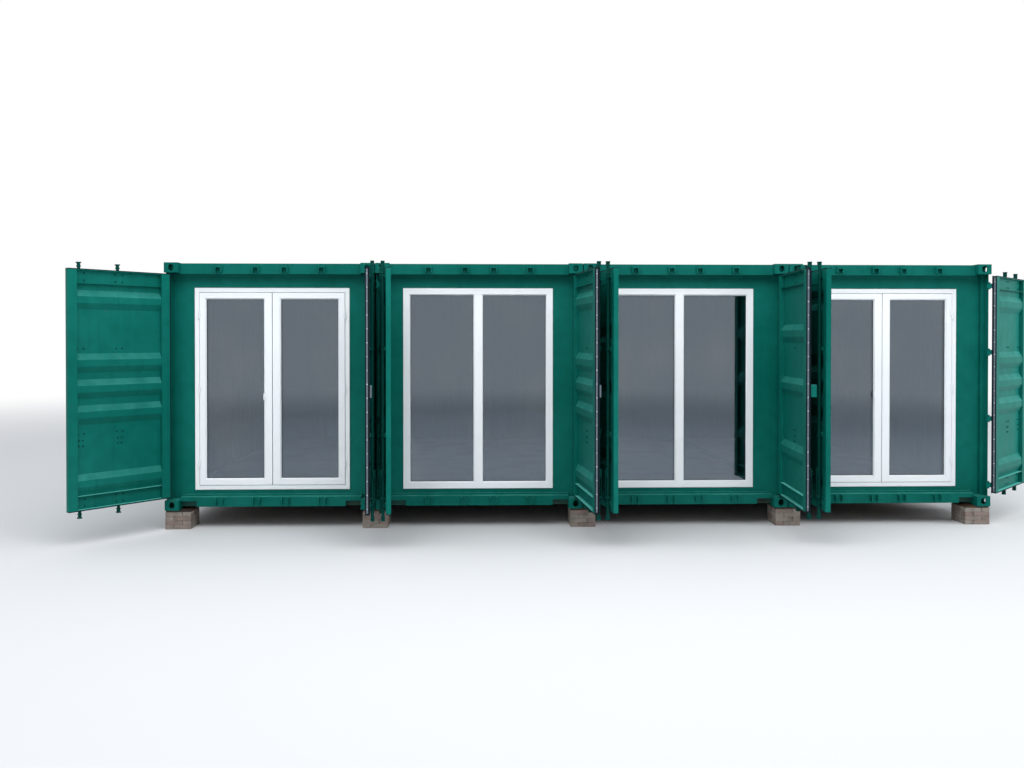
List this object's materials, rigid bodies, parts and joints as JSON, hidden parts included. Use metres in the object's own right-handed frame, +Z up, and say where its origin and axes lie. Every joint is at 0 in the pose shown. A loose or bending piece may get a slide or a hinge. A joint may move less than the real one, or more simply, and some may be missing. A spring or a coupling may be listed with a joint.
{
  "type": "shipping container cabin",
  "caption": "Cabin of steel shipping containers side by side on low piers, fronts filled with white glazed doors and windows behind open cargo doors.",
  "frame": {"origin": "on the ground under the middle of the middle front pier", "axes": "X along the glazed front to the right, Y back into the cabin, Z up"},
  "size_m": [11.4133, 7.2253, 3.116],
  "materials": {
    "green_paint": "satin container enamel, teal green",
    "casting_paint": "container enamel on cast steel",
    "roof_paint": "weathered container enamel",
    "bare_steel": "container enamel, inside",
    "white_profile": "white plastic profile",
    "glazing": "clear double glazing",
    "seal_rubber": "dark extruded rubber",
    "plywood": "varnished container plywood",
    "brick": "dry laid brick",
    "steel_plate": "dark rusted steel plate"
  },
  "bodies": {
    "cabin": {"back_walls": "green_paint", "bottom_side_rails": "green_paint", "brick_piers": "brick", "corner_castings": "casting_paint", "corner_posts": "green_paint", "cross_members": "bare_steel", "door_headers": "green_paint", "door_sills": "green_paint", "fixed_glass": "glazing", "glazed_door_frames": "white_profile", "infill_heads_and_feet": "green_paint", "infill_sides": "green_paint", "left_side_wall": "green_paint", "pier_cap_plates": "steel_plate", "plywood_floors": "plywood", "rear_rails": "green_paint", "right_side_wall": "green_paint", "roof_panels": "roof_paint", "top_side_rails": "green_paint", "window_frames": "white_profile"},
    "first_left_cargo_door": {"first_left_door_leaf": "green_paint", "first_left_lock_gear": "green_paint", "first_left_door_seal": "seal_rubber"},
    "first_right_cargo_door": {"first_right_door_leaf": "green_paint", "first_right_lock_gear": "green_paint", "first_right_door_seal": "seal_rubber"},
    "second_left_cargo_door": {"second_left_door_leaf": "green_paint", "second_left_lock_gear": "green_paint", "second_left_door_seal": "seal_rubber"},
    "second_right_cargo_door": {"second_right_door_leaf": "green_paint", "second_right_lock_gear": "green_paint", "second_right_door_seal": "seal_rubber"},
    "third_left_cargo_door": {"third_left_door_leaf": "green_paint", "third_left_lock_gear": "green_paint", "third_left_door_seal": "seal_rubber"},
    "third_right_cargo_door": {"third_right_door_leaf": "green_paint", "third_right_lock_gear": "green_paint", "third_right_door_seal": "seal_rubber"},
    "last_left_cargo_door": {"last_left_door_leaf": "green_paint", "last_left_lock_gear": "green_paint", "last_left_door_seal": "seal_rubber"},
    "last_right_cargo_door": {"last_right_door_leaf": "green_paint", "last_right_lock_gear": "green_paint", "last_right_door_seal": "seal_rubber"},
    "first_left_glazed_door": {"first_left_glazed_sash": "white_profile", "first_left_door_glass": "glazing"},
    "first_right_glazed_door": {"first_right_glazed_sash": "white_profile", "first_right_door_glass": "glazing"},
    "last_left_glazed_door": {"last_left_glazed_sash": "white_profile", "last_left_door_glass": "glazing"},
    "last_right_glazed_door": {"last_right_glazed_sash": "white_profile", "last_right_door_glass": "glazing"}
  },
  "joints": [
    {"name": "first_left_cargo_hinge", "type": "hinge", "parent": "cabin", "child": "first_left_cargo_door", "pos_m": [-4.872, -0.147, 0.474], "axis": [0, 0, -1], "range_deg": [-131, 131]},
    {"name": "first_right_cargo_hinge", "type": "hinge", "parent": "cabin", "child": "first_right_cargo_door", "pos_m": [-2.478, -0.147, 0.474], "axis": [0, 0, 1], "range_deg": [-97.3, 1.2]},
    {"name": "second_left_cargo_hinge", "type": "hinge", "parent": "cabin", "child": "second_left_cargo_door", "pos_m": [-2.422, -0.147, 0.474], "axis": [0, 0, -1], "range_deg": [-81.1, 0.4]},
    {"name": "second_right_cargo_hinge", "type": "hinge", "parent": "cabin", "child": "second_right_cargo_door", "pos_m": [-0.028, -0.147, 0.474], "axis": [0, 0, 1], "range_deg": [-95.2, 0.6]},
    {"name": "third_left_cargo_hinge", "type": "hinge", "parent": "cabin", "child": "third_left_cargo_door", "pos_m": [0.028, -0.147, 0.474], "axis": [0, 0, -1], "range_deg": [-83.9, 0.3]},
    {"name": "third_right_cargo_hinge", "type": "hinge", "parent": "cabin", "child": "third_right_cargo_door", "pos_m": [2.422, -0.147, 0.474], "axis": [0, 0, 1], "range_deg": [-85.5, 0.7]},
    {"name": "last_left_cargo_hinge", "type": "hinge", "parent": "cabin", "child": "last_left_cargo_door", "pos_m": [2.478, -0.147, 0.474], "axis": [0, 0, -1], "range_deg": [-93.2, 0.6]},
    {"name": "last_right_cargo_hinge", "type": "hinge", "parent": "cabin", "child": "last_right_cargo_door", "pos_m": [4.872, -0.147, 0.474], "axis": [0, 0, 1], "range_deg": [-223.7, 38.3]},
    {"name": "first_left_glazed_hinge", "type": "hinge", "parent": "cabin", "child": "first_left_glazed_door", "pos_m": [-4.535, -0.022, 1.6325], "axis": [0, 0, -1], "range_deg": [0, 90]},
    {"name": "first_right_glazed_hinge", "type": "hinge", "parent": "cabin", "child": "first_right_glazed_door", "pos_m": [-2.825, -0.022, 1.6325], "axis": [0, 0, 1], "range_deg": [0, 90]},
    {"name": "last_left_glazed_hinge", "type": "hinge", "parent": "cabin", "child": "last_left_glazed_door", "pos_m": [2.79, -0.022, 1.6325], "axis": [0, 0, -1], "range_deg": [0, 90]},
    {"name": "last_right_glazed_hinge", "type": "hinge", "parent": "cabin", "child": "last_right_glazed_door", "pos_m": [4.5, -0.022, 1.6325], "axis": [0, 0, 1], "range_deg": [0, 90]}
  ]
}
